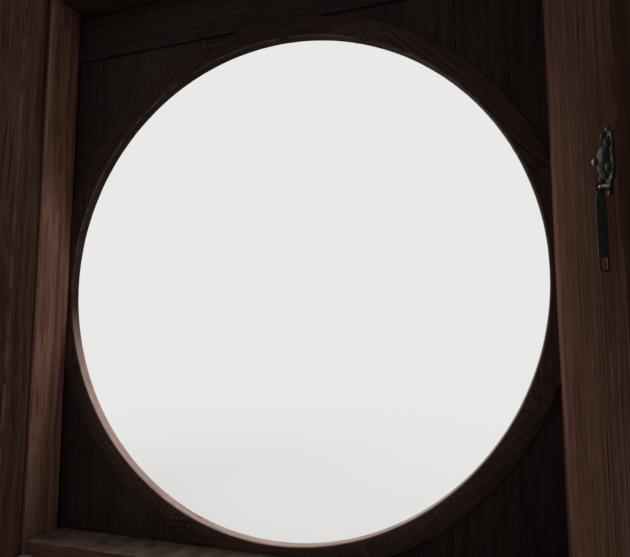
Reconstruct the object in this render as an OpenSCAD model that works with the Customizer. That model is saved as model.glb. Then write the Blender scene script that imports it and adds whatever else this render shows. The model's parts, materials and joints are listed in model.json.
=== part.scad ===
// Timber moon gate. A plank-door frame stands on two pivot stones, and a board screen with a
// round opening is fixed to its courtyard side. Two pivot-hung plank leaves open into the room.
// The origin is on the ground, under the centre of the round opening, in the screen's middle
// plane. +X is right as seen from the room, +Y points into the courtyard and +Z is up.

/* [Round opening] */
// Radius of the round opening
hole_r = 1100; // [1000:10:1200]
// Radial width of the rim round the opening
rim_w = 90; // [70:5:120]
// Thickness of the rim and of the screen's frame
rim_t = 50; // [44:1:70]
// Depth to which the rim is let into the screen's frame
rim_housing = 12; // [6:1:20]
// Chamfer on the rim's inner arrises
rim_chamfer = 4; // [2:1:8]
// Angle over which two rim timbers lap
rim_lap = 7; // [5:1:9]
// Radius of the pegs through the rim's laps
rim_peg_r = 7; // [5:1:10]

/* [Screen] */
// Height of the foot rail that the screen stands on
foot_h = 112; // [90:1:160]
// Height of the rail over the rim
mid_rail_h = 80; // [60:5:120]
// Thickness of the screen's boards
board_t = 24; // [16:1:30]
// Depth of the grooves that hold the boards
groove_d = 12; // [8:1:16]
// Number of boards in each corner of the screen
board_n = 5; // [4:1:8]
// Thickness of the frame's tenons
tenon_t = 20; // [14:1:24]
// Height of the middle rail's tenons
tenon_h = 44; // [30:1:56]

/* [Door frame] */
// Height of the transom board that shows between the middle rail and the head beam
transom_h = 172; // [120:2:260]
// Distance from the round opening's edge out to the posts' inner faces
post_reveal = 15; // [4:1:30]
// Width of a post
post_w = 180; // [150:5:240]
// Depth of a post
post_d = 200; // [140:5:220]
// Height by which the posts run on above the head beam
post_over = 100; // [60:5:300]
// Chamfer on the posts' arrises
post_chamfer = 8; // [4:1:14]
// Height of the head beam and of the screen's top rail
head_h = 180; // [150:5:200]
// Height of the door threshold
threshold_h = 150; // [120:5:180]
// Height of the pivot stones
stone_h = 90; // [70:5:110]
// Length that a pivot stone reaches into the room past the posts
stone_reach = 130; // [100:5:200]
// Margin of a pivot stone beside its post
stone_side = 40; // [20:5:70]
// Height of the pivot beam
pivot_beam_h = 84; // [70:2:100]
// Depth of the pivot beam
pivot_beam_d = 112; // [90:2:150]
// Radius of the pegs that hold the pivot beam
beam_peg_r = 17; // [12:1:22]

/* [Leaves] */
// Thickness of a pivot stile
stile_t = 60; // [54:2:80]
// Width of a pivot stile from the pivot axis to the planks
stile_w = 60; // [50:2:90]
// Thickness of the planks
plank_t = 36; // [28:1:40]
// Number of planks between a leaf's two stiles
plank_n = 4; // [3:1:5]
// Width of the meeting stile at the free edge
meeting_w = 161; // [120:1:200]
// Gap between two planks
plank_gap = 2; // [1:0.5:4]
// Gap between the two closed leaves
leaf_gap = 7; // [6:1:12]
// Clearance of the leaves to the door frame
leaf_clear = 6; // [6:1:12]
// Lap of the leaves over the head beam
head_lap = 40; // [20:5:60]
// Radius of the pivot pins
pin_r = 22; // [16:1:25]
// Length of the pins below and above a leaf
pin_l = 44; // [30:1:60]
// Running clearance round a pivot pin
pin_clear = 0.5; // [0.3:0.1:1]
// Height of a batten on the back of a leaf
batten_h = 90; // [70:5:120]
// Distance from a leaf's ends to the middle of its outer battens
batten_in = 300; // [200:10:500]
// Depth to which a batten is let into the planks
batten_let = 7; // [5:1:9]
// Opening angle of the left leaf as it stands
left_open = 165; // [0:1:172]
// Opening angle of the right leaf as it stands
right_open = 89.6; // [0:0.1:172]

/* [Ironwork] */
// Height of the bosses above the ground
boss_z = 1300; // [1100:10:1500]
// Distance from a leaf's free edge to the middle of its boss
boss_in = 60; // [58:1:90]
// Radius of a boss plate over its lobes
boss_r = 53; // [50:1:56]
// Number of lobes round a boss plate
lobe_n = 6; // [6:1:8]
// Radius of a lobe
lobe_r = 20; // [16:1:22]
// Thickness of a boss plate at its edge
boss_t = 4; // [3:1:6]
// Height of the dome on a boss
dome_h = 18; // [14:1:22]
// Radius of the dome on a boss
dome_r = 28; // [24:1:30]
// Height of the knob on the dome
knob_h = 25; // [24:1:32]
// Radius of the knob
knob_r = 6; // [5:1:8]
// Distance from the middle of a boss down to its staple
staple_drop = 41; // [38:1:44]
// Radius of the staples' iron
staple_r = 3.5; // [3:0.5:5]
// Clear width inside a staple
staple_in = 14; // [12:1:18]
// Distance from the leaf's face out to the staple's bow
staple_out = 15; // [15:1:24]
// Length of the hasp from its pin to the middle of its end eye
hasp_l = 116; // [100:2:160]
// Width of the hasp's bar
hasp_w = 15; // [12:1:16]
// Thickness of the hasp's bar
hasp_t = 6; // [5:1:8]
// Width of the iron round the hasp's eyes
eye_iron = 3.5; // [3:0.5:5]
// Height of the end eye beyond its width
eye_long = 12; // [8:1:16]

/* [Hidden] */
$fn = 64;

rim_n = 8;
rim_step = 360 / rim_n;
seat = 0.3;
eps = 1;

rim_out = hole_r + rim_w;
frame_half = rim_out - rim_housing;
hole_z = foot_h + frame_half;
mid_z = hole_z + frame_half;
mid_top = mid_z + mid_rail_h;
door_h = mid_top + transom_h;
door_half = hole_r + post_reveal;
wall_half = door_half + post_w;
head_top = door_h + head_h;
post_top = head_top + post_over;
groove_end = frame_half + groove_d;
post_back = -rim_t / 2;
post_front = post_back - post_d;
corner_x = sqrt(rim_out * rim_out - frame_half * frame_half);
groove_w = board_t + 2 * seat;

leaf_r = stile_t / 2;
axis_x = door_half + leaf_r;
axis_y = post_front - leaf_clear - leaf_r;
leaf_l = axis_x - leaf_gap / 2;
leaf_z = stone_h + leaf_clear;
leaf_top = door_h + head_lap;
beam_z = leaf_top + leaf_clear;
plank_back = leaf_r - plank_t;
batten_back = -leaf_r + 2;
meeting_x = leaf_l - meeting_w;
plank_w = meeting_x / plank_n;
batten_z = [leaf_z + batten_in, (leaf_z + leaf_top) / 2, leaf_top - batten_in];
bow_v = leaf_r + staple_out;
boss_u = leaf_l - boss_in;
staple_z = boss_z - staple_drop;

wood_brown = [0.36, 0.25, 0.18];
wood_dark = [0.17, 0.12, 0.10];
wood_worn = [0.42, 0.36, 0.32];
iron = [0.10, 0.09, 0.09];
stone = [0.45, 0.44, 0.42];

// A square timber along Z, with chamfered arrises
module timber_z(x0, x1, y0, y1, z0, z1, c) {
    translate([0, 0, z0])
        linear_extrude(z1 - z0)
            polygon([
                [x0 + c, y0], [x1 - c, y0], [x1, y0 + c], [x1, y1 - c],
                [x1 - c, y1], [x0 + c, y1], [x0, y1 - c], [x0, y0 + c]
            ]);
}

module box(x0, x1, y0, y1, z0, z1) {
    translate([x0, y0, z0]) cube([x1 - x0, y1 - y0, z1 - z0]);
}

// A round hole or peg along Y
module bar_y(x, z, r, y0, y1) {
    translate([x, y0, z]) rotate([-90, 0, 0]) cylinder(r = r, h = y1 - y0);
}

// The round opening's disc, standing across the wall
module disc(r, y0, y1) {
    translate([0, y0, hole_z]) rotate([-90, 0, 0]) cylinder(r = r, h = y1 - y0, $fn = 180);
}

// Door frame

module pivot_stone(side) {
    color(stone)
        mirror([side < 0 ? 1 : 0, 0, 0])
            difference() {
                timber_z(door_half - stone_side, wall_half + stone_side,
                         post_front - stone_reach, post_back, 0, stone_h, post_chamfer);
                translate([axis_x, axis_y, stone_h - pin_l])
                    cylinder(r = pin_r + pin_clear, h = pin_l + eps);
            }
}

module post(side) {
    color(wood_brown)
        mirror([side < 0 ? 1 : 0, 0, 0])
            difference() {
                timber_z(door_half, wall_half, post_front, post_back,
                         stone_h, post_top, post_chamfer);
                head_tenon(0);
            }
}

// The head beam's tenon runs right through a post
module head_tenon(more) {
    box(door_half - eps, wall_half + eps, (post_front + post_back) / 2 - tenon_t,
        (post_front + post_back) / 2 + tenon_t, door_h + head_h / 4, head_top - head_h / 4);
}

module head_beam() {
    mid_y = (post_front + post_back) / 2;
    color(wood_brown)
        difference() {
            union() {
                box(-door_half, door_half, post_front, post_back, door_h, head_top);
                box(-wall_half, wall_half, mid_y - tenon_t, mid_y + tenon_t,
                    door_h + head_h / 4, head_top - head_h / 4);
            }
            beam_pegs(0);
        }
}

module threshold() {
    color(wood_worn)
        difference() {
            box(-door_half, door_half, post_front, post_back, 0, threshold_h);
            for (side = [-1, 1])
                box(min(side * (door_half - stone_side), side * (door_half + eps)),
                    max(side * (door_half - stone_side), side * (door_half + eps)),
                    post_front - eps, post_back + eps, -eps, stone_h);
        }
}

module beam_pegs(more) {
    for (x = [-0.78, -0.26, 0.26, 0.78])
        bar_y(x * door_half, beam_z + pivot_beam_h / 2, beam_peg_r + more,
              post_front - pivot_beam_d - 14, post_front + post_d * 0.6);
}

module pivot_beam() {
    color(wood_brown)
        difference() {
            box(-wall_half, wall_half, post_front - pivot_beam_d, post_front,
                beam_z, beam_z + pivot_beam_h);
            for (side = [-1, 1])
                translate([side * axis_x, axis_y, beam_z - eps])
                    cylinder(r = pin_r + pin_clear, h = pivot_beam_h + 2 * eps);
            beam_pegs(0);
        }
}

module pivot_beam_pegs() {
    color(wood_worn) beam_pegs(-0.1);
}

// Screen

module foot_rail() {
    color(wood_dark)
        difference() {
            box(-wall_half, wall_half, -rim_t / 2, rim_t / 2, 0, foot_h);
            disc(rim_out + seat, -rim_t, rim_t);
            for (side = [-1, 1])
                stile_tenon(side, 0);
            box(-groove_end, groove_end, -groove_w / 2, groove_w / 2, foot_h - groove_d, foot_h + eps);
        }
}

// Tenon at the foot of a screen stile
module stile_tenon(side, z0) {
    mid = (frame_half + wall_half) / 2;
    box(side * mid - 25, side * mid + 25, -tenon_t / 2, tenon_t / 2, foot_h * 0.3, foot_h + eps);
}

module screen_stile(side) {
    color(wood_dark)
        difference() {
            union() {
                mirror([side < 0 ? 1 : 0, 0, 0])
                    box(frame_half, wall_half, -rim_t / 2, rim_t / 2, foot_h, door_h);
                stile_tenon(side, 0);
            }
            disc(rim_out + seat, -rim_t, rim_t);
            rail_tenon();
            mirror([side < 0 ? 1 : 0, 0, 0])
                box(frame_half - eps, frame_half + groove_d, -groove_w / 2, groove_w / 2,
                    foot_h - eps, door_h + eps);
        }
}

// The middle rail's tenons run right through the stiles
module rail_tenon() {
    mid = mid_z + mid_rail_h / 2;
    box(-wall_half, wall_half, -tenon_t / 2, tenon_t / 2, mid - tenon_h / 2, mid + tenon_h / 2);
}

module middle_rail() {
    color(wood_dark)
        difference() {
            union() {
                box(-frame_half, frame_half, -rim_t / 2, rim_t / 2, mid_z, mid_top);
                rail_tenon();
            }
            disc(rim_out + seat, -rim_t, rim_t);
            for (z = [mid_z - eps, mid_top - groove_d])
                box(-frame_half, frame_half, -groove_w / 2, groove_w / 2, z, z + groove_d + eps);
        }
}

module top_rail() {
    color(wood_dark)
        difference() {
            box(-wall_half, wall_half, -rim_t / 2, rim_t / 2, door_h, head_top);
            box(-groove_end, groove_end, -groove_w / 2, groove_w / 2, door_h - eps, door_h + groove_d);
        }
}

module transom_board() {
    color(wood_dark)
        box(-groove_end + seat, groove_end - seat,
            -board_t / 2, board_t / 2, mid_top - groove_d + seat, door_h + groove_d - seat);
}

// One quarter of the screen's boards, set upright in the grooves of the frame and the rim
module corner_boards(sx, sz) {
    x0 = corner_x;
    x1 = groove_end - seat;
    step = (x1 - x0) / board_n;
    color(wood_dark)
        translate([0, 0, hole_z])
            mirror([sx < 0 ? 1 : 0, 0, 0])
                mirror([0, 0, sz < 0 ? 1 : 0])
                    difference() {
                        for (i = [0 : board_n - 1])
                            box(x0 + i * step, x0 + (i + 1) * step - plank_gap / 2,
                                -board_t / 2, board_t / 2, corner_x, x1);
                        rotate([-90, 0, 0])
                            translate([0, 0, -rim_t])
                                cylinder(r = rim_out - groove_d + seat, h = 2 * rim_t, $fn = 180);
                    }
}

// Rim: eight curved timbers, halved together over a short lap and pegged

// The front or the back half of the whole ring, from its middle plane out to one face
module ring_half(y_face) {
    s = sign(y_face);
    rotate([90, 0, 0])
        rotate_extrude($fn = 180)
            polygon([
                [hole_r, 0], [hole_r, -y_face + s * rim_chamfer], [hole_r + rim_chamfer, -y_face],
                [rim_out, -y_face], [rim_out, -s * groove_w / 2],
                [rim_out - groove_d, -s * groove_w / 2], [rim_out - groove_d, 0]
            ]);
}

// The wedge that one timber takes out of a ring half
module wedge(a0) {
    reach = 1.3 * rim_out;
    translate([0, rim_t, 0])
        rotate([90, 0, 0])
            linear_extrude(2 * rim_t)
                polygon([
                    [0, 0], [reach * cos(a0), reach * sin(a0)],
                    [reach * cos(a0 + rim_step / 2), reach * sin(a0 + rim_step / 2)],
                    [reach * cos(a0 + rim_step), reach * sin(a0 + rim_step)]
                ]);
}

module rim_timber(i) {
    a0 = (i - 0.5) * rim_step;
    color(wood_worn)
        difference() {
            translate([0, 0, hole_z]) {
                intersection() {
                    ring_half(-rim_t / 2);
                    wedge(a0 - rim_lap / 2);
                }
                intersection() {
                    ring_half(rim_t / 2);
                    wedge(a0 + rim_lap / 2);
                }
            }
            for (end = [0, 1])
                lap_pegs(i + end, 0.1, rim_t);
        }
}

// Two pegs through the lap at joint i
module lap_pegs(i, more, l) {
    a0 = (i - 0.5) * rim_step;
    peg_at = hole_r + (rim_w - groove_d) / 2;
    for (a = [a0 - rim_lap / 4, a0 + rim_lap / 4])
        bar_y(peg_at * cos(a), hole_z + peg_at * sin(a), rim_peg_r + more, -l, l);
}

module rim_pegs() {
    color(wood_brown)
        for (i = [0 : rim_n - 1])
            lap_pegs(i, 0, rim_t / 2 + 3);
}

// Leaves, drawn as the left leaf: X runs from the pivot axis to the free edge, +Y is its face

module hang(side) {
    open = side < 0 ? left_open : right_open;
    mirror([side > 0 ? 1 : 0, 0, 0])
        translate([-axis_x, axis_y, 0])
            rotate([0, 0, -open])
                children();
}

module pivot_stile(side) {
    color(wood_brown)
        hang(side) {
            translate([0, 0, leaf_z])
                linear_extrude(leaf_top - leaf_z)
                    union() {
                        circle(r = leaf_r);
                        translate([0, -leaf_r]) square([stile_w, stile_t]);
                    }
            translate([0, 0, stone_h - pin_l + seat])
                cylinder(r = pin_r, h = pin_l + leaf_clear);
            translate([0, 0, leaf_top - eps])
                cylinder(r = pin_r, h = pin_l + leaf_clear);
        }
}

// Battens are let into the planks in a dovetail
module batten_shape(u0, u1) {
    for (z = batten_z)
        translate([u0, 0, z])
            rotate([90, 0, 90])
                linear_extrude(u1 - u0)
                    polygon([
                        [batten_back, -batten_h / 2 + 4], [plank_back, -batten_h / 2 + 4],
                        [plank_back + batten_let, -batten_h / 2],
                        [plank_back + batten_let, batten_h / 2],
                        [plank_back, batten_h / 2 - 4], [batten_back, batten_h / 2 - 4]
                    ]);
}

module planks(side) {
    color(wood_brown)
        hang(side)
            difference() {
                for (i = [0 : plank_n - 1])
                    box(i == 0 ? stile_w : i * plank_w + plank_gap / 2,
                        (i + 1) * plank_w - plank_gap / 2, plank_back, leaf_r, leaf_z, leaf_top);
                batten_shape(stile_w - eps, leaf_l + eps);
            }
}

module meeting_stile(side) {
    color(wood_brown)
        hang(side)
            difference() {
                box(meeting_x + plank_gap / 2, leaf_l, plank_back, leaf_r, leaf_z, leaf_top);
                batten_shape(stile_w - eps, leaf_l - 12);
            }
}

module battens(side) {
    color(wood_worn) hang(side) batten_shape(stile_w, leaf_l - 12);
}

// Ironwork

// A lobed plate with a beaten dome in its middle and a knob on the dome
module boss(side) {
    color(iron)
        hang(side)
            translate([boss_u, leaf_r, boss_z])
                rotate([-90, 0, 0])
                    difference() {
                        union() {
                            linear_extrude(boss_t)
                                union() {
                                    circle(r = boss_r - lobe_r * 0.6);
                                    for (i = [0 : lobe_n - 1])
                                        rotate(90 + i * 360 / lobe_n)
                                            translate([boss_r - lobe_r, 0]) circle(r = lobe_r, $fn = 32);
                                }
                            rotate_extrude($fn = 48)
                                polygon(concat(
                                    [[0, 0], [dome_r, 0]],
                                    [for (a = [0 : 10 : 70])
                                        [dome_r * cos(a), boss_t + (dome_h - boss_t) * sin(a)]],
                                    [[knob_r, dome_h], [knob_r, knob_h - knob_r]],
                                    [for (a = [30, 60])
                                        [knob_r * cos(a), knob_h - knob_r + knob_r * sin(a)]],
                                    [[0, knob_h]]
                                ));
                        }
                        for (x = [-1, 1])
                            translate([x * (staple_in / 2 + staple_r), staple_drop, -eps])
                                cylinder(r = staple_r + 0.1, h = boss_t + 2 * eps, $fn = 32);
                    }
}

// A staple with its legs through the boss plate and its bow lying across the leaf
module staple(side) {
    color(iron)
        hang(side)
            translate([boss_u, 0, staple_z]) {
                for (x = [-1, 1])
                    translate([x * (staple_in / 2 + staple_r), leaf_r, 0])
                        rotate([-90, 0, 0])
                            cylinder(r = staple_r, h = staple_out, $fn = 32);
                translate([-staple_in / 2 - 2 * staple_r, bow_v, 0])
                    rotate([0, 90, 0])
                        cylinder(r = staple_r, h = staple_in + 4 * staple_r, $fn = 32);
            }
}

// The oval end eye's outline, drawn in or out by r
module end_eye(r) {
    for (z = [-hasp_l - eye_long / 2, -hasp_l + eye_long / 2])
        translate([0, z]) circle(r = hasp_w / 2 + r, $fn = 48);
    translate([-hasp_w / 2 - r, -hasp_l - eye_long / 2]) square([hasp_w + 2 * r, eye_long]);
}

// The hasp: a flat bar hung by its top eye on the right staple's bow, so that it stands square to
// the leaf, with an oval eye at its foot
module hasp() {
    pin_hole = staple_r + 0.4;
    top_r = pin_hole + eye_iron + 0.6;
    neck = top_r * 0.6;
    bar_end = -hasp_l + eye_long / 2;
    color(iron)
        hang(1)
            translate([boss_u - hasp_t / 2, bow_v, staple_z])
                rotate([90, 0, 90])
                    linear_extrude(hasp_t)
                        difference() {
                            union() {
                                circle(r = top_r, $fn = 48);
                                polygon([
                                    [-neck, 0], [-neck, -top_r], [-hasp_w / 2, -2.6 * top_r],
                                    [-hasp_w / 2, bar_end], [hasp_w / 2, bar_end],
                                    [hasp_w / 2, -2.6 * top_r], [neck, -top_r], [neck, 0]
                                ]);
                                end_eye(0);
                            }
                            circle(r = pin_hole, $fn = 40);
                            end_eye(-eye_iron);
                        }
}

pivot_stone(-1);  // left_pivot_stone
pivot_stone(1);  // right_pivot_stone
post(-1);  // left_post
post(1);  // right_post
threshold();
head_beam();
pivot_beam();
pivot_beam_pegs();
foot_rail();
screen_stile(-1);  // left_screen_stile
screen_stile(1);  // right_screen_stile
middle_rail();
top_rail();
transom_board();
rim_timber(0);  // rim_right
rim_timber(1);  // rim_upper_right
rim_timber(2);  // rim_top
rim_timber(3);  // rim_upper_left
rim_timber(4);  // rim_left
rim_timber(5);  // rim_lower_left
rim_timber(6);  // rim_bottom
rim_timber(7);  // rim_lower_right
rim_pegs();
corner_boards(-1, 1);  // upper_left_boards
corner_boards(1, 1);  // upper_right_boards
corner_boards(-1, -1);  // lower_left_boards
corner_boards(1, -1);  // lower_right_boards
pivot_stile(-1);  // left_pivot_stile
planks(-1);  // left_planks
meeting_stile(-1);  // left_meeting_stile
battens(-1);  // left_battens
boss(-1);  // left_boss
staple(-1);  // left_staple
pivot_stile(1);  // right_pivot_stile
planks(1);  // right_planks
meeting_stile(1);  // right_meeting_stile
battens(1);  // right_battens
boss(1);  // right_boss
staple(1);  // right_staple
hasp();
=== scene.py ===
import json
import math

import bmesh
import bpy
from mathutils import Matrix, Vector, noise

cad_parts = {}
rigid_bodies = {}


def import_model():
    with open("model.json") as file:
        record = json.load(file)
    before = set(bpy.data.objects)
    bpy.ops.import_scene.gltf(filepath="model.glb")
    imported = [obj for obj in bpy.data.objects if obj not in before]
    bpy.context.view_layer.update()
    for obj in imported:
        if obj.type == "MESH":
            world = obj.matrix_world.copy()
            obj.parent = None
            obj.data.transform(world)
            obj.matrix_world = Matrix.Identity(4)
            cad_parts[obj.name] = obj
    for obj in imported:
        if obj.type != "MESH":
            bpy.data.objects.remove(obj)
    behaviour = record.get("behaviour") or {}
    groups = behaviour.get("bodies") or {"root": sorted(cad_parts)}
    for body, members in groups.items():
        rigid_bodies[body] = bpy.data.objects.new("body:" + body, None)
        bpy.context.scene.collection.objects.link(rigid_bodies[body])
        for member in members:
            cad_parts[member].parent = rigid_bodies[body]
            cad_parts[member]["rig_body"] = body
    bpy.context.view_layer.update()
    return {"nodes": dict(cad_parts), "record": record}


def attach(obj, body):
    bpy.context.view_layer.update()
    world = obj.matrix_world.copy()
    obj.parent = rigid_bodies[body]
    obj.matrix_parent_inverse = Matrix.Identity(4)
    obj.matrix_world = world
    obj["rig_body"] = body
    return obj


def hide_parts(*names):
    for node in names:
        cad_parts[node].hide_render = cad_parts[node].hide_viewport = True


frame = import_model()

# Measures of the gate, in metres

HOLE_R = 1.1
HOLE_Z = 1.29
RIM_OUT = 1.19
RIM_SEAT = 1.1783
RIM_T = 0.05
RING_NEAR = 0.0025
BOARD_X = 0.1685
BOARD_END = 1.1897
AXIS_X = 1.145
AXIS_Y = -0.261
LEAF_L = 1.1415
LEAF_LOW = 0.096
LEAF_TOP = 2.76
LEAF_FACE = 0.03
PLANK_JOINTS = (0.2451, 0.4903, 0.7354, 0.9805)
SOCKET_CLEAR = 0.03
SOCKET_LOW = 0.04

# Measures of the ironwork, in metres

BOSS_U = LEAF_L - 0.06
BOSS_Z = 1.3
BOSS_R = 0.053
LOBE_R = 0.02
WEB_R = BOSS_R - 0.012
PLATE_T = 0.004
PLATE_ARRIS = 0.0014
DOME_R = 0.028
DOME_H = 0.014
DOME_FOOT = ((DOME_R, 0.0005), (DOME_R, 0.0032))
NECK = ((0.0072, 0.0178), (0.0062, 0.0186), (0.0058, 0.0196))
KNOB_R = 0.006
KNOB_H = 0.0055
KNOB_Z = 0.0195
# Above this height the knob is bright iron: partly rubbed by hands, partly a painted glint
RUBBED_GLINT_FROM = 0.0215
STUD_AT = 0.0385
STUD_R = 0.009
STUD_FLATNESS = 0.85
STAPLE_Z = BOSS_Z - 0.041
STAPLE_OUT = 0.015
STAPLE_R = 0.0035
STAPLE_IN = 0.014
STAPLE_BEND = 0.005

# Counts, and turns in degrees

BOARD_N = 5
LOBE_N = 6
STUDDED_LOBES = (0, 1, 2, 4, 5)
RIM_TURN = 45
RIM_LAP = 7
LAP_NEAR = 0.12
RIM_FACET = 1.5
LEFT_OPEN = 165
RIGHT_OPEN = 89.6

# Angles between faces, in radians: what counts as an arris, as a crease to the eye, and as flat

SHARP = math.radians(28)
CREASE = math.radians(38)
FLAT = math.radians(0.4)

# How finely the timbers are cut up before they are hewn, in metres

CUT_ALONG = 0.045
CUT_ACROSS = 0.06
RIM_CUT = 0.012
STONE_CUT = 0.02
HASP_CUTS = ((2, 0.008), (1, 0.004))

# Camera, light and stage

PHOTO_WIDTH_PX = 630
FOCAL_LENGTH_PX = 566
SENSOR_WIDTH = 36
CAMERA_PLACE = (0.959, -2.276, 1.029)
CAMERA_RISE = 6.25
CAMERA_TURN = 19.15
CLIP_START = 0.02
LIGHT_HEIGHT = 6
SKY_COLOUR = (1.0, 0.995, 0.985, 1)
SKY_AS_LIGHT = 0.47
SKY_AS_SEEN = 0.82
FLOOR_COLOUR = (0.77, 0.768, 0.763, 1)
FLOOR_REACH = 60
FLOOR_DROP = 0.002

# Where things lie: a leaf is worked on as if it lay along X, and the right leaf is the left one mirrored

MIRROR = Matrix.Diagonal((-1, 1, 1, 1))
UPRIGHT = Matrix.Identity(4)
LYING = Matrix.Rotation(math.radians(-90), 4, "Y")
CROSSWISE = Matrix.Rotation(math.radians(90), 4, "X")
ON_FACE = Matrix.Translation((BOSS_U, LEAF_FACE, BOSS_Z)) @ Matrix.Rotation(math.radians(-90), 4, "X")


def hung(opened):
    """The place of the left leaf, opened by so many degrees."""
    return Matrix.Translation((-AXIS_X, AXIS_Y, 0)) @ Matrix.Rotation(-math.radians(opened), 4, "Z")


STAND = Matrix.Identity(4)
LEFT_HANG = hung(LEFT_OPEN)
RIGHT_HANG = MIRROR @ hung(RIGHT_OPEN)
HANG = {"frame": STAND, "left_leaf": LEFT_HANG, "right_leaf": RIGHT_HANG, "hasp": RIGHT_HANG}


def node_body(node):
    return frame["nodes"][node]["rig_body"]


def node_hang(node):
    return HANG[node_body(node)]


def node_slot(node):
    for row in frame["record"]["subparts"]:
        if row["node"] == node:
            return row["material_slot"]


def clamp(value):
    return max(0.0, min(1.0, value))


# Finishes


class Nodes:
    """A tree of shader nodes in the making. Any input takes a socket or a plain value."""

    def __init__(self, tree):
        self.tree = tree
        self.tree.nodes.clear()

    def add(self, kind, inputs, out=0, **settings):
        node = self.tree.nodes.new(kind)
        for key, value in settings.items():
            setattr(node, key, value)
        for key, value in inputs.items():
            if isinstance(value, bpy.types.NodeSocket):
                self.tree.links.new(value, node.inputs[key])
            else:
                node.inputs[key].default_value = value
        return node.outputs[out] if node.outputs else None

    def math(self, operation, a, b):
        return self.add("ShaderNodeMath", {0: a, 1: b}, operation=operation)

    def times(self, a, b):
        return self.math("MULTIPLY", a, b)

    def plus(self, a, b):
        return self.math("ADD", a, b)

    def vector(self, operation, a, b):
        return self.add("ShaderNodeVectorMath", {0: a, 1: b}, operation=operation)

    def attribute(self, name, out="Fac"):
        return self.add("ShaderNodeAttribute", {}, out=out, attribute_name=name)

    def noise(self, place, scale, detail=3.0, rough=0.5, out="Fac"):
        return self.add(
            "ShaderNodeTexNoise",
            {"Vector": place, "Scale": scale, "Detail": detail, "Roughness": rough},
            out=out,
        )

    def span(self, value, low, high, to_low=0.0, to_high=1.0):
        """The value carried smoothly from low..high to to_low..to_high."""
        return self.add(
            "ShaderNodeMapRange",
            {"Value": value, "From Min": low, "From Max": high, "To Min": to_low, "To Max": to_high},
            interpolation_type="SMOOTHSTEP",
        )

    def mix(self, amount, a, b):
        return self.add("ShaderNodeMix", {0: amount, 6: a, 7: b}, out=2, data_type="RGBA")

    def toned(self, colour, value):
        return self.add("ShaderNodeHueSaturation", {"Value": value, "Color": colour})


class Finish(Nodes):
    """A material in the making."""

    def __init__(self, name):
        self.material = bpy.data.materials.new(name)
        self.material.use_nodes = True
        super().__init__(self.material.node_tree)

    def surface(self, colour, rough, height, metallic=0.0, shine=0.5):
        """The finished material. The height is in metres."""
        normal = self.add("ShaderNodeBump", {"Height": height, "Strength": 1.0, "Distance": 1.0})
        shader = self.add(
            "ShaderNodeBsdfPrincipled",
            {
                "Base Color": colour,
                "Roughness": rough,
                "Metallic": metallic,
                "Specular IOR Level": shine,
                "Normal": normal,
            },
        )
        self.add("ShaderNodeOutputMaterial", {"Surface": shader})
        return self.material


def tint(r, g, b):
    """A colour given as 0..255 display values."""

    def linear(c):
        c /= 255
        return c / 12.92 if c <= 0.04045 else ((c + 0.055) / 1.055) ** 2.4

    return (linear(r), linear(g), linear(b), 1.0)


def arris(f, width):
    """1 at a board's nearest arris, falling to 0 at width."""
    low = f.attribute("from_low", "Vector")
    high = f.attribute("from_high", "Vector")
    near = f.add("ShaderNodeSeparateXYZ", {0: f.vector("MINIMUM", low, high)}).node.outputs
    small = f.math("MINIMUM", near[0], near[1])
    large = f.math("MAXIMUM", near[0], near[1])
    second = f.math("MAXIMUM", small, f.math("MINIMUM", large, near[2]))
    return f.span(second, 0.0, width, 1.0, 0.0)


def rings(f, flow, scale, stretch):
    """The rings of the tree, drawn out along the grain."""
    return f.add(
        "ShaderNodeTexWave",
        {
            "Vector": f.vector("MULTIPLY", flow, (1, 1, stretch)),
            "Scale": scale,
            "Distortion": 3.0,
            "Detail": 2.0,
            "Detail Scale": 1.5,
            "Detail Roughness": 0.6,
        },
        out="Fac",
        wave_type="RINGS",
        rings_direction="Z",
    )


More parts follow.
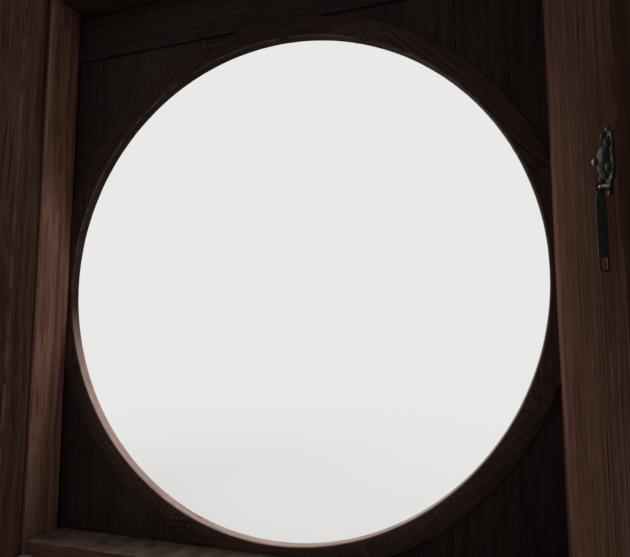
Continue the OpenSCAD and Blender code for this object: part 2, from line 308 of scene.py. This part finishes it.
def timber(name, tints, greying=0.35, wear_and_highlight=0.5, soot=0.0, polish=0.0, handled=()):
    """Old sawn timber: rings, knots, fibres and drying cracks along the grain, and arrises made pale,
    partly by wear and partly as painted highlight.

    The tints are those of the dark rings, the wood between them, the pale fibres, the greyed
    patches and the pale arrises of wear and painted highlight. The places that hands reach for are darker
    and smoother.
    """
    dark, mid, pale, grey, worn_and_lit = (tint(*one) for one in tints)
    f = Finish(name)
    here = f.add("ShaderNodeTexCoord", {}, out="Object")
    grain = f.attribute("grain", "Vector")
    lot = f.attribute("lot")
    sway = f.noise(f.vector("MULTIPLY", grain, (1, 1, 0.4)), 2.4, 2.0, out="Color")
    sway = f.vector("MULTIPLY", f.vector("SUBTRACT", sway, (0.5, 0.5, 0.5)), (0.07, 0.07, 0.0))
    lying = f.vector("ADD", grain, sway)

    # Knots, and the grain that swirls round them
    knot_from = f.add(
        "ShaderNodeTexVoronoi",
        {"Vector": f.vector("MULTIPLY", lying, (1, 1, 0.5)), "Scale": 1.9},
        out="Distance",
    )
    knot = f.span(knot_from, 0.018, 0.034, 1.0, 0.0)
    swirl = f.times(f.span(knot_from, 0.01, 0.17, 1.0, 0.0), 0.03)
    flow = f.vector("ADD", lying, f.add("ShaderNodeCombineXYZ", {0: swirl, 1: swirl, 2: 0.0}))

    # Rings and fibres, from the broadest to the finest, and the patches of a long life
    broad = rings(f, flow, 11.0, 0.05)
    fine = rings(f, flow, 42.0, 0.03)
    strands = f.noise(f.vector("MULTIPLY", flow, (1, 1, 0.018)), 62.0, 4.0, 0.6)
    fibre = f.noise(f.vector("MULTIPLY", flow, (1, 1, 0.022)), 260.0, 4.0, 0.65)
    patch = f.noise(f.vector("MULTIPLY", grain, (1, 1, 0.4)), 3.0, 5.0, 0.6)
    streak = f.noise(f.vector("MULTIPLY", grain, (1, 1, 0.06)), 13.0, 4.0, 0.55)

    # Drying cracks, in some places only
    split = f.add(
        "ShaderNodeTexVoronoi",
        {"Vector": f.vector("MULTIPLY", flow, (1, 1, 0.016)), "Scale": 21.0},
        out="Distance",
        feature="DISTANCE_TO_EDGE",
    )
    where = f.span(f.noise(f.vector("MULTIPLY", grain, (1, 1, 0.45)), 4.4, 2.0), 0.54, 0.62)
    crack = f.times(f.span(split, 0.004, 0.016, 1.0, 0.0), where)

    # The wood's own colour
    tone = f.plus(f.times(broad, 0.22), f.plus(f.times(strands, 0.75), f.times(fine, 0.1)))
    colour = f.mix(f.span(tone, 0.3, 0.85), dark, mid)
    colour = f.mix(f.times(f.span(fibre, 0.45, 0.72), 0.5), colour, pale)
    colour = f.mix(f.times(f.span(streak, 0.5, 0.72), 0.5), colour, dark)
    colour = f.mix(f.times(f.span(patch, 0.44, 0.7), greying), colour, grey)
    colour = f.toned(colour, f.span(lot, 0.0, 1.0, 0.74, 1.24))

    # Arrises pale with wear and painted highlight, the rim's inner face pale low down with wear and
    # painted light, and painted shade on the free edges of the leaves
    # Pale arrises: partly wear, partly painted highlight where an arris catches the light
    rub_and_highlight = f.times(arris(f, 0.011), f.span(f.noise(here, 9.0, 5.0, 0.65), 0.36, 0.66))
    colour = f.mix(f.times(rub_and_highlight, wear_and_highlight), colour, worn_and_lit)
    # The rim's inner face pale low down: partly wear, partly painted light falling from above
    trodden_and_lit = f.times(f.attribute("trodden_and_lit"), f.span(f.plus(strands, patch), 0.6, 1.25, 0.55, 1.0))
    colour = f.mix(trodden_and_lit, colour, TRODDEN_AND_LIT)
    # The free edges of the leaves darkened: painted shade
    free_edge_shade = f.times(f.attribute("free_edge_shade"), f.span(strands, 0.3, 0.6, 0.6, 0.95))
    colour = f.mix(free_edge_shade, colour, FREE_EDGE_SHADE)
    colour = f.mix(f.times(knot, 0.7), colour, KNOT)
    colour = f.mix(f.times(crack, 0.85), colour, CRACK)
    if soot:
        haze = f.span(f.noise(here, 1.6, 4.0, 0.6), 0.3, 0.7, soot * 0.5, soot)
        colour = f.mix(haze, colour, SOOT)

    # Dust on what faces up, kept off the rim's inner face where wear and painted light make it pale
    up = f.add("ShaderNodeSeparateXYZ", {0: f.add("ShaderNodeNewGeometry", {}, out="Normal")}, out=2)
    dust = f.times(f.span(up, 0.7, 0.98), f.span(f.noise(here, 12.0, 5.0, 0.6), 0.3, 0.7, 0.12, 0.45))
    dust = f.times(dust, f.math("SUBTRACT", 1.0, trodden_and_lit))
    colour = f.mix(dust, colour, DUST)

    # Gloss and relief, with the marks of hands
    rough = f.span(f.plus(fibre, patch), 0.7, 1.3, 0.88 - polish, 0.68 - polish)
    if handled:
        touch = 0.0
        for place in handled:
            far = f.add(
                "ShaderNodeVectorMath", {0: here, 1: place}, out="Value", operation="DISTANCE"
            )
            touch = f.math("MAXIMUM", f.span(far, 0.05, 0.32, 1.0, 0.0), touch)
        touch = f.times(touch, f.span(patch, 0.3, 0.6, 0.5, 1.0))
        colour = f.mix(f.times(touch, 0.45), colour, HANDLED)
        rough = f.math("SUBTRACT", rough, f.times(touch, 0.28))
    height = f.times(f.math("SUBTRACT", fibre, 0.5), 0.0008)
    height = f.plus(height, f.times(f.math("SUBTRACT", strands, 0.5), 0.0015))
    height = f.plus(height, f.times(fine, 0.00025))
    height = f.math("SUBTRACT", height, f.times(crack, 0.003))
    height = f.plus(height, f.times(knot, 0.0008))
    return f.surface(colour, rough, height, shine=polish)


def forged_iron(name):
    """Iron black from the forge, hammered, with a little rust in its pits."""
    f = Finish(name)
    here = f.add("ShaderNodeTexCoord", {}, out="Object")
    blotch = f.noise(here, 55.0, 5.0, 0.6)
    pit = f.noise(here, 480.0, 3.0, 0.6)
    hammer = f.add(
        "ShaderNodeTexVoronoi", {"Vector": here, "Scale": 95.0}, out="Distance", feature="SMOOTH_F1"
    )
    colour = f.mix(f.span(blotch, 0.42, 0.7), tint(13, 11, 10), tint(27, 19, 16))
    colour = f.mix(f.times(f.span(pit, 0.58, 0.78), 0.4), colour, tint(58, 35, 25))
    rough = f.span(blotch, 0.35, 0.7, 0.46, 0.7)
    height = f.plus(f.times(blotch, 0.0008), f.times(pit, 0.0003))
    height = f.plus(height, f.times(hammer, 0.0012))
    return f.surface(colour, rough, height, metallic=0.04, shine=0.06)


def rubbed_glinting_iron(name):
    """Iron kept bright by hands and by what hangs on it, and pale as a painted glint on the knob's crown
    and the staple.
    """
    f = Finish(name)
    here = f.add("ShaderNodeTexCoord", {}, out="Object")
    blotch = f.noise(here, 120.0, 4.0, 0.6)
    colour = f.mix(f.span(blotch, 0.4, 0.65), tint(122, 111, 101), tint(58, 48, 42))
    rough = f.span(blotch, 0.35, 0.7, 0.3, 0.52)
    return f.surface(colour, rough, f.times(blotch, 0.0005), metallic=0.9)


def tooled_stone(name):
    """Grey stone with the marks of the point chisel, specks, and damp at its foot."""
    f = Finish(name)
    here = f.add("ShaderNodeTexCoord", {}, out="Object")
    cloud = f.noise(here, 7.0, 6.0, 0.6)
    speck = f.noise(here, 280.0, 3.0, 0.7)
    askew = f.add("ShaderNodeMapping", {"Vector": here, "Rotation": (0.3, 0.5, 0.7)})
    tool = f.noise(f.vector("MULTIPLY", askew, (1, 0.1, 1)), 110.0, 3.0, 0.55)
    colour = f.mix(f.span(cloud, 0.35, 0.7), tint(84, 79, 73), tint(126, 120, 110))
    colour = f.mix(f.times(f.span(speck, 0.5, 0.7), 0.5), colour, tint(62, 59, 54))
    tall = f.add("ShaderNodeSeparateXYZ", {0: here}, out=2)
    damp = f.times(f.span(tall, 0.0, 0.06, 1.0, 0.0), f.span(cloud, 0.3, 0.6))
    colour = f.mix(f.times(damp, 0.75), colour, tint(50, 48, 38))
    height = f.plus(f.times(tool, 0.003), f.times(speck, 0.0006))
    return f.surface(colour, 0.88, f.plus(height, f.times(cloud, 0.006)))


def paper(name, colour):
    """Matt backdrop paper."""
    f = Finish(name)
    shader = f.add(
        "ShaderNodeBsdfPrincipled",
        {"Base Color": colour, "Roughness": 1.0, "Specular IOR Level": 0.0},
    )
    f.add("ShaderNodeOutputMaterial", {"Surface": shader})
    return f.material


def boss_place(body):
    return tuple(HANG[body] @ Vector((BOSS_U, LEAF_FACE, BOSS_Z)))


# Tints of what use and age leave on the wood, and of the painted light and painted shade laid on it
# Pale of the rim's inner face low down, partly wear and partly painted light
TRODDEN_AND_LIT = tint(198, 168, 156)
# Painted shade for the free edges of the leaves
FREE_EDGE_SHADE = tint(22, 14, 11)
KNOT = tint(34, 20, 14)
CRACK = tint(14, 9, 7)
SOOT = tint(14, 9, 8)
DUST = tint(118, 104, 92)
HANDLED = tint(44, 28, 21)

# The last tint of each timber and its amount of arris paling make pale arrises, partly wear and partly
# painted highlight
WOOD = {
    "frame_wood": timber(
        "frame_wood",
        ((58, 37, 30), (94, 65, 54), (124, 92, 77), (104, 80, 69), (136, 104, 86)),
    ),
    "beam_wood": timber(
        "beam_wood",
        ((38, 25, 20), (62, 43, 35), (84, 61, 50), (72, 55, 47), (100, 75, 61)),
        greying=0.25,
        soot=0.25,
    ),
    "leaf_wood": timber(
        "leaf_wood",
        ((43, 28, 23), (70, 48, 39), (96, 69, 57), (80, 60, 51), (112, 84, 69)),
        handled=(boss_place("left_leaf"), boss_place("right_leaf")),
    ),
    "screen_wood": timber(
        "screen_wood",
        ((22, 14, 12), (38, 25, 21), (56, 39, 32), (48, 35, 30), (70, 51, 42)),
        greying=0.2,
        wear_and_highlight=0.35,
        soot=0.5,
        polish=0.06,
    ),
    "rim_wood": timber(
        "rim_wood",
        ((27, 17, 15), (46, 31, 26), (68, 48, 40), (64, 49, 43), (90, 70, 60)),
        greying=0.3,
        wear_and_highlight=0.85,
        soot=0.25,
        polish=0.04,
    ),
    "peg_wood": timber(
        "peg_wood",
        ((30, 19, 16), (50, 34, 28), (70, 49, 40), (60, 45, 38), (78, 57, 47)),
    ),
}
IRON = forged_iron("forged_iron")
RUBBED_GLINT = rubbed_glinting_iron("rubbed_glinting_iron")
STONE = tooled_stone("tooled_stone")


# Working the pieces


def merged(node):
    """A merged copy of a node's own mesh, laid as the leaf that it belongs to."""
    hang = node_hang(node)
    bm = bmesh.new()
    bm.from_mesh(frame["nodes"][node].data)
    bmesh.ops.remove_doubles(bm, verts=bm.verts, dist=2e-5)
    bm.transform(hang.inverted())
    if hang.determinant() < 0:
        bmesh.ops.reverse_faces(bm, faces=bm.faces)
    bmesh.ops.dissolve_limit(bm, angle_limit=FLAT, verts=bm.verts, edges=bm.edges, delimit=set())
    return bm


def rounded(bm, edges, width, segments=2, clamp_overlap=False):
    bmesh.ops.bevel(
        bm,
        geom=edges,
        offset=width,
        offset_type="OFFSET",
        affect="EDGES",
        segments=segments,
        profile=0.5,
        material=-1,
        clamp_overlap=clamp_overlap,
    )


def soften(bm, width, shortest=0.02, segments=2):
    """Rounds every sharp arris that isn't too short for it."""
    sharp = [
        e for e in bm.edges if e.is_manifold and e.calc_length() > shortest and e.calc_face_angle() > SHARP
    ]
    rounded(bm, sharp, width, segments, clamp_overlap=True)


def cut_at(bm, place, across):
    everything = bm.verts[:] + bm.edges[:] + bm.faces[:]
    bmesh.ops.bisect_plane(bm, geom=everything, dist=1e-6, plane_co=place, plane_no=across)


def cut_up(bm, axis, step):
    """Cuts the faces into even lengths of about the step along an axis."""
    low = min(v.co[axis] for v in bm.verts)
    high = max(v.co[axis] for v in bm.verts)
    count = max(2, round((high - low) / step))
    across = Vector((0, 0, 0))
    across[axis] = 1
    for i in range(1, count):
        cut_at(bm, across * (low + (high - low) * i / count), across)


def boards_of(bm):
    """The separate boards of a piece, from low X to high X."""
    waiting = set(bm.verts)
    groups = []
    while waiting:
        group = set()
        front = [waiting.pop()]
        while front:
            v = front.pop()
            group.add(v)
            for e in v.link_edges:
                o = e.other_vert(v)
                if o in waiting:
                    waiting.discard(o)
                    front.append(o)
        groups.append(group)
    return sorted(groups, key=lambda g: (round(min(v.co.x for v in g), 3), min(v.co.z for v in g)))


def scatter(seed):
    """A number from 0 to 1 that looks drawn by lot and is the same in each run."""
    return math.modf(abs(math.sin(seed * 12.9898)) * 43758.5453)[0]


def free_edge_shading(place):
    """How much painted shade darkens the free edge of a leaf, from 0 to 1."""
    return clamp((place.x - LEAF_L + 0.004) / 0.0035)


def mark_boards(bm, lay, seed, board_tones=(), shade_free_edge=False):
    """Gives each board its own lie of the grain, its tone and the distances to its ends."""
    grain = bm.verts.layers.float_vector.new("grain")
    lot = bm.verts.layers.float.new("lot")
    bm.verts.layers.float.new("trodden_and_lit")
    free_edge_shade = bm.verts.layers.float.new("free_edge_shade")
    from_low = bm.verts.layers.float_vector.new("from_low")
    from_high = bm.verts.layers.float_vector.new("from_high")
    for i, group in enumerate(boards_of(bm)):
        low = Vector([min(v.co[k] for v in group) for k in range(3)])
        high = Vector([max(v.co[k] for v in group) for k in range(3)])
        own = seed + i * 1.37
        lean_x = Matrix.Rotation(0.03 * (scatter(own) - 0.5), 4, "X")
        lean_y = Matrix.Rotation(0.03 * (scatter(own + 2) - 0.5), 4, "Y")
        heart_x = 0.05 + 0.12 * scatter(own + 3)
        heart_y = 0.06 + 0.1 * scatter(own + 4)
        heart = Vector((heart_x, heart_y, 7 * scatter(own + 5)))
        place = lean_x @ lean_y @ lay @ Matrix.Translation(-(low + high) / 2)
        for v in group:
            v[grain] = place @ v.co + heart
            v[lot] = board_tones[i] if i < len(board_tones) else scatter(own + 6)
            v[from_low] = v.co - low
            v[from_high] = high - v.co
            # Painted shade along the free edge of a meeting stile
            v[free_edge_shade] = free_edge_shading(v.co) if shade_free_edge else 0


def in_ring_joint(place):
    """Where the rim is let into the screen's frame or its timbers meet, and surfaces stay true."""
    turn = (math.degrees(math.atan2(place.z - HOLE_Z, place.x)) - RIM_TURN / 2) % RIM_TURN
    out = math.hypot(place.x, place.z - HOLE_Z)
    at_lap = abs(min(turn, RIM_TURN - turn) - RIM_LAP / 2) < LAP_NEAR
    return abs(out - RIM_OUT) < RING_NEAR or (out < RIM_OUT + 0.002 and at_lap)


def hew(bm, depth, axis, seed, chipping=0.012, true=None):
    """Lets the surface in unevenly, as hewing and wear leave it, most at the arrises."""
    bm.normal_update()
    stretch = Vector((10, 10, 10))
    stretch[axis] = 1.5
    moves = []
    for v in bm.verts:
        wave = 0.5 + 0.5 * noise.noise(v.co * stretch + Vector((seed, 0, 0)))
        chip = max(0.0, noise.noise(v.co * 23 + Vector((0, seed, 0))) - 0.22)
        ridge = 1 - min(v.normal.dot(f.normal) for f in v.link_faces)
        inward = depth * wave + chipping * chip * min(1, ridge * 8)
        moves.append(v.normal * (0 if true and true(v.co) else -inward))
    for v, move in zip(bm.verts, moves):
        v.co += move


def dimple(bm, depth, fineness, where, seed=0.0):
    """Lets the surface in by 0 to 2 depths, unevenly, where it may be."""
    bm.normal_update()
    for v in bm.verts:
        if where(v.co):
            v.co -= v.normal * (depth + depth * noise.noise(v.co * fineness + Vector((seed, 0, 0))))


def finished(bm, name, body, finish, nodes=()):
    """Turns the work into a piece that stands where it belongs and rides on its body."""
    hang = HANG[body]
    if hang.determinant() < 0:
        bmesh.ops.reverse_faces(bm, faces=bm.faces)
    bm.transform(hang)
    bm.normal_update()
    for face in bm.faces:
        face.smooth = True
    for e in bm.edges:
        e.smooth = not (e.is_manifold and e.calc_face_angle() > CREASE)
    mesh = bpy.data.meshes.new(name)
    bm.to_mesh(mesh)
    bm.free()
    for one in finish if isinstance(finish, list) else [finish]:
        mesh.materials.append(one)
    piece = bpy.data.objects.new(name, mesh)
    bpy.context.scene.collection.objects.link(piece)
    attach(piece, body)
    if nodes:
        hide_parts(*nodes)


# Timber


def old_timber(node, seed, lying=False, width=0.003, depth=0.0015, board_tones=(), finish=None):
    """A timber with its grain along its length, softened arrises and hewn faces."""
    slot = node_slot(node)
    body = node_body(node)
    along = 0 if lying else 2
    bm = merged(node)
    soften(bm, width)
    for k in range(3):
        cut_up(bm, k, CUT_ALONG if k == along else CUT_ACROSS)
    # Meeting stiles take the painted shade on the free edge
    mark_boards(bm, LYING if lying else UPRIGHT, seed, board_tones, shade_free_edge="meeting_stile" in node)
    hew(bm, depth, along, seed, true=in_ring_joint if body == "frame" else None)
    finished(bm, node + "_timber", body, finish or WOOD[slot], [node])


def rim_timber(node, angle, seed):
    """One curved timber, with its grain along the chord and its inner face pale low down, partly with wear
    and partly as painted light from above.
    """
    bm = merged(node)
    soften(bm, 0.0009)
    centre = Vector((0, 0, HOLE_Z))
    for i in range(round(180 / RIM_FACET)):
        a = math.radians(i * RIM_FACET)
        cut_at(bm, centre, Vector((-math.sin(a), 0, math.cos(a))))
    cut_up(bm, 1, RIM_CUT)

    # What the cuts left on the chords goes back onto the true circles
    for v in bm.verts:
        out = Vector((v.co.x, 0, v.co.z - HOLE_Z))
        for true in (HOLE_R, RIM_OUT):
            if 0 < abs(out.length - true) < 0.0012:
                out = out.normalized() * true
                v.co.x = out.x
                v.co.z = out.z + HOLE_Z

    mark_boards(bm, Matrix.Rotation(angle, 4, "Y"), seed)
    from_low = bm.verts.layers.float_vector["from_low"]
    from_high = bm.verts.layers.float_vector["from_high"]
    trodden_and_lit = bm.verts.layers.float["trodden_and_lit"]
    # The inner face is painted paler the lower it lies, partly for wear and partly as painted light from
    # above
    for v in bm.verts:
        out = math.hypot(v.co.x, v.co.z - HOLE_Z)
        low_down = max(0.0, (HOLE_Z - v.co.z) / HOLE_R)
        v[trodden_and_lit] = clamp((low_down - 0.08) / 0.4) * clamp((HOLE_R + 0.005 - out) / 0.004)
        v[from_low] = (out - HOLE_R, v.co.y + RIM_T / 2, 1)
        v[from_high] = (RIM_OUT + 0.02 - out, RIM_T / 2 - v.co.y, 1)
    hew(bm, 0.0012, 1, seed, chipping=0.008, true=in_ring_joint)
    finished(bm, node + "_timber", "frame", WOOD["rim_wood"], [node])


def peg_ends(node):
    bm = merged(node)
    soften(bm, 0.0012, shortest=0.0005)
    mark_boards(bm, CROSSWISE, 3.7)
    finished(bm, node + "_ends", "frame", WOOD["peg_wood"], [node])


def tongues(name, body, slot, strips):
    """Loose tongues in the joints between boards, so that no light comes through."""
    bm = bmesh.new()
    for low, high in strips:
        low = Vector(low)
        high = Vector(high)
        made = bmesh.ops.create_cube(bm, size=1)["verts"]
        bmesh.ops.scale(bm, verts=made, vec=high - low)
        bmesh.ops.translate(bm, verts=made, vec=(low + high) / 2)
    soften(bm, 0.001, segments=1)
    mark_boards(bm, UPRIGHT, 2.1)
    finished(bm, name, body, WOOD[slot])


def leaf_strips():
    """Low and high corners of the tongues between a leaf's planks."""
    low_z = LEAF_LOW + 0.004
    high_z = LEAF_TOP - 0.004
    return [((u - 0.009, 0.008, low_z), (u + 0.009, 0.016, high_z)) for u in PLANK_JOINTS]


def screen_strips():
    """Low and high corners of the tongues between the corner boards, from the rim outwards."""
    step = (BOARD_END - BOARD_X) / BOARD_N
    strips = []
    for sx in (-1, 1):
        for sz in (-1, 1):
            for i in range(1, BOARD_N):
                x = BOARD_X + i * step
                near = math.sqrt(RIM_SEAT**2 - (x - 0.01) ** 2) + 0.004
                z = sorted((HOLE_Z + sz * near, HOLE_Z + sz * (BOARD_END - 0.002)))
                strips.append(((sx * x - 0.008, -0.004, z[0]), (sx * x + 0.008, 0.004, z[1])))
    return strips


# Tones run from 0, dark, to 1, pale, and hand keeps the seeds of the two sides apart. Each plank keeps a
# tone of its own, and on the right leaf they fall from pale by the opening to dark at the free edge as
# painted light. The right pivot stile is pale with painted light and the left one dark with painted shade.
PIVOT_STILE_PAINTED_LIGHT = {"left": 0.1, "right": 0.8}
PLANK_TONES_AND_LIGHT = {"left": (0.15, 0.6, 0.3, 0.75), "right": (0.95, 0.55, 0.5, 0.3)}
for side, hand in (("left", 1.0), ("right", 2.0)):
    old_timber(f"{side}_post", seed=11.3 * hand, depth=0.0025, board_tones=(0.7,))
    old_timber(f"{side}_screen_stile", seed=5.1 * hand)
    old_timber(f"{side}_pivot_stile", seed=3.3 * hand, board_tones=(PIVOT_STILE_PAINTED_LIGHT[side],))
    old_timber(f"{side}_planks", seed=8.7 * hand, depth=0.0022, board_tones=PLANK_TONES_AND_LIGHT[side])
    old_timber(f"{side}_meeting_stile", seed=6.9 * hand, board_tones=(0.4,))
    old_timber(f"{side}_battens", seed=2.2 * hand, lying=True)
    for level in ("upper", "lower"):
        old_timber(f"{level}_{side}_boards", seed=4.2 * hand + 5)
    tongues(f"{side}_leaf_tongues", f"{side}_leaf", "leaf_wood", leaf_strips())

BEAM = WOOD["beam_wood"]
old_timber("threshold", seed=1.5, lying=True, width=0.005, depth=0.003, board_tones=(0.7,), finish=BEAM)
old_timber("head_beam", seed=2.5, lying=True, width=0.004, finish=BEAM)
old_timber("pivot_beam", seed=3.5, lying=True, width=0.004, finish=BEAM)
for node, seed in (("foot_rail", 4.5), ("middle_rail", 5.5), ("top_rail", 6.5), ("transom_board", 7.5)):
    old_timber(node, seed=seed, lying=True)

RIM = ("right", "upper_right", "top", "upper_left", "left", "lower_left", "bottom", "lower_right")
for i, place in enumerate(RIM):
    rim_timber(f"rim_{place}", math.radians(RIM_TURN * i), 1.7 * i + 0.6)
for node in ("pivot_beam_pegs", "rim_pegs"):
    peg_ends(node)
tongues("screen_tongues", "frame", "screen_wood", screen_strips())


# Stones


def pivot_stone(node, seed):
    """A tooled block with softened arrises. Its foot and the socket for the pin stay true."""

    def tooled(place):
        from_axis = Vector((abs(place.x) - AXIS_X, place.y - AXIS_Y)).length
        in_socket = from_axis < SOCKET_CLEAR and place.z > SOCKET_LOW
        return place.z > 0.001 and not in_socket

    bm = merged(node)
    soften(bm, 0.006)
    for k in range(3):
        cut_up(bm, k, STONE_CUT)
    dimple(bm, 0.0018, 21, tooled, seed)
    finished(bm, node + "_block", "frame", STONE, [node])


pivot_stone("left_pivot_stone", 1.0)
pivot_stone("right_pivot_stone", 5.0)


# Ironwork


def turned(bm, profile):
    """Turns a profile of (radius, height) about Z, into the work."""
    points = [bm.verts.new((r, 0, h)) for r, h in profile]
    lines = [bm.edges.new(pair) for pair in zip(points, points[1:])]
    bmesh.ops.spin(
        bm, geom=points + lines, cent=(0, 0, 0), axis=(0, 0, 1), angle=math.tau, steps=64, use_merge=True
    )


def swelling(radius, height, z, angles):
    """The profile of a dome from its foot towards its crown."""
    turns = [math.radians(a) for a in angles]
    return [(radius * math.cos(a), z + height * math.sin(a)) for a in turns]


def lobed(angle):
    """How far the plate's outline, lobes round a disc, reaches from its centre."""
    half = math.pi / LOBE_N
    turn = (angle + half) % (2 * half) - half
    out = BOSS_R - LOBE_R
    reach = out * math.sin(turn)
    return max(WEB_R, out * math.cos(turn) + math.sqrt(max(0.0, LOBE_R * LOBE_R - reach * reach)))


def boss(side):
    """A lobed plate with a dome and its knob, and a stud on each lobe but the one with the staple."""
    bm = bmesh.new()
    bmesh.ops.create_circle(bm, cap_ends=True, segments=180, radius=1)
    for v in bm.verts:
        v.co *= lobed(math.atan2(v.co.y, v.co.x) - math.pi / 2)
    made = bmesh.ops.extrude_face_region(bm, geom=bm.faces[:])["geom"]
    top = {v for v in made if isinstance(v, bmesh.types.BMVert)}
    bmesh.ops.translate(bm, verts=list(top), vec=(0, 0, PLATE_T))
    outline = [e for e in bm.edges if top.issuperset(e.verts) and len(e.link_faces) == 2]
    rounded(bm, outline, PLATE_ARRIS)

    profile = list(DOME_FOOT)
    profile += swelling(DOME_R, DOME_H, PLATE_T, range(6, 74, 6))
    profile += NECK
    profile += swelling(KNOB_R, KNOB_H, KNOB_Z, range(10, 86, 15))
    profile.append((0, KNOB_Z + KNOB_H))
    turned(bm, profile)

    for i in STUDDED_LOBES:
        a = math.radians(270 + i * 360 / LOBE_N)
        made = bmesh.ops.create_uvsphere(bm, u_segments=28, v_segments=18, radius=STUD_R)["verts"]
        bmesh.ops.scale(bm, verts=made, vec=(1, 1, STUD_FLATNESS))
        bmesh.ops.translate(bm, verts=made, vec=(STUD_AT * math.cos(a), STUD_AT * math.sin(a), PLATE_T))
    bmesh.ops.remove_doubles(bm, verts=bm.verts, dist=1e-6)
    bmesh.ops.recalc_face_normals(bm, faces=bm.faces)
    for face in bm.faces:
        # The knob's crown takes the bright iron, partly rubbed and partly a painted glint
        if face.calc_center_median().z > RUBBED_GLINT_FROM:
            face.material_index = 1
    dimple(bm, 0.0004, 190, lambda place: place.z > 0.003 and place.xy.length < 0.05)
    bm.transform(ON_FACE)
    finished(bm, f"{side}_boss_plate", f"{side}_leaf", [IRON, RUBBED_GLINT], [f"{side}_boss"])


def edges_in(made):
    return [g for g in made if isinstance(g, bmesh.types.BMEdge)]


def drawn(bm, lines, along):
    """Draws the bar's open end out."""
    made = bmesh.ops.extrude_edge_only(bm, edges=lines)["geom"]
    bmesh.ops.translate(bm, verts=[g for g in made if isinstance(g, bmesh.types.BMVert)], vec=along)
    return edges_in(made)


def bent(bm, lines, cent):
    """Bends the bar's open end by a right angle."""
    made = bmesh.ops.spin(
        bm, geom=lines, cent=cent, axis=(0, 0, 1), angle=math.radians(-90), steps=6, use_merge=False
    )
    return edges_in(made["geom_last"])


def staple(side):
    """A round bar bent twice into a bow, with both legs driven through the plate."""
    half = STAPLE_IN / 2 + STAPLE_R
    leg = STAPLE_OUT - STAPLE_BEND
    bm = bmesh.new()
    ring = bmesh.ops.create_circle(bm, cap_ends=False, segments=20, radius=STAPLE_R)["verts"]
    bmesh.ops.rotate(bm, verts=ring, cent=(0, 0, 0), matrix=Matrix.Rotation(math.radians(-90), 3, "X"))
    bmesh.ops.translate(bm, verts=ring, vec=(-half, 0, 0))
    lines = drawn(bm, list(bm.edges), (0, leg, 0))
    lines = bent(bm, lines, (-half + STAPLE_BEND, leg, 0))
    lines = drawn(bm, lines, (2 * (half - STAPLE_BEND), 0, 0))
    lines = bent(bm, lines, (half - STAPLE_BEND, leg, 0))
    drawn(bm, lines, (0, -leg, 0))
    bmesh.ops.holes_fill(bm, edges=[e for e in bm.edges if e.is_boundary], sides=0)
    bmesh.ops.recalc_face_normals(bm, faces=bm.faces)
    bm.transform(Matrix.Translation((BOSS_U, LEAF_FACE, STAPLE_Z)))
    # The whole staple is bright iron, partly rubbed and partly a painted glint
    finished(bm, f"{side}_staple_bar", f"{side}_leaf", RUBBED_GLINT, [f"{side}_staple"])


def hasp():
    bm = merged("hasp")
    soften(bm, 0.0011, shortest=0.0002)
    for k, step in HASP_CUTS:
        cut_up(bm, k, step)
    dimple(bm, 0.0003, 170, lambda place: True)
    finished(bm, "hasp_bar", "hasp", IRON, ["hasp"])


for side in ("left", "right"):
    boss(side)
    staple(side)
hasp()


# Stage, lights and camera


def stage_floor():
    bm = bmesh.new()
    bmesh.ops.create_grid(bm, x_segments=1, y_segments=1, size=FLOOR_REACH)
    bmesh.ops.translate(bm, verts=bm.verts, vec=(0, 0, -FLOOR_DROP))
    mesh = bpy.data.meshes.new("floor")
    bm.to_mesh(mesh)
    bm.free()
    mesh.materials.append(paper("floor_paper", FLOOR_COLOUR))
    floor = bpy.data.objects.new("floor", mesh)
    bpy.context.scene.collection.objects.link(floor)


def softbox(name, travel, strength, spread):
    """A wide soft light that travels one way, its spread in degrees."""
    data = bpy.data.lights.new(name, "SUN")
    data.energy = strength
    data.angle = math.radians(spread)
    light = bpy.data.objects.new(name, data)
    light.rotation_euler = Vector(travel).to_track_quat("-Z", "Y").to_euler()
    light.location = (0, 0, LIGHT_HEIGHT)
    bpy.context.scene.collection.objects.link(light)


def studio_sky():
    """Plain light from all round. The camera, metal and glass see it brighter than it shines."""
    world = bpy.data.worlds.new("studio")
    world.use_nodes = True
    n = Nodes(world.node_tree)
    path = n.add("ShaderNodeLightPath", {}).node.outputs
    mirrored = n.math("MAXIMUM", path["Is Glossy Ray"], path["Is Transmission Ray"])
    seen = n.math("MAXIMUM", path["Is Camera Ray"], mirrored)
    strength = n.add(
        "ShaderNodeMapRange", {"Value": seen, "To Min": SKY_AS_LIGHT, "To Max": SKY_AS_SEEN}
    )
    sky = n.add("ShaderNodeBackground", {"Color": SKY_COLOUR, "Strength": strength})
    n.add("ShaderNodeOutputWorld", {"Surface": sky})
    bpy.context.scene.world = world


def place_camera():
    data = bpy.data.cameras.new("camera")
    data.sensor_fit = "HORIZONTAL"
    data.sensor_width = SENSOR_WIDTH
    data.lens = SENSOR_WIDTH * FOCAL_LENGTH_PX / PHOTO_WIDTH_PX
    data.clip_start = CLIP_START
    camera = bpy.data.objects.new("camera", data)
    camera.location = CAMERA_PLACE
    camera.rotation_euler = (math.radians(90 + CAMERA_RISE), 0, math.radians(CAMERA_TURN))
    bpy.context.scene.collection.objects.link(camera)
    bpy.context.scene.camera = camera


stage_floor()
softbox("back_left", (0.7, -0.58, -0.42), 1.85, 30)
softbox("back_right", (-0.7, -0.58, -0.42), 1.85, 40)
softbox("front", (-0.2, 0.88, -0.43), 0.7, 60)
studio_sky()
place_camera()
bpy.context.scene.view_settings.view_transform = "Standard"
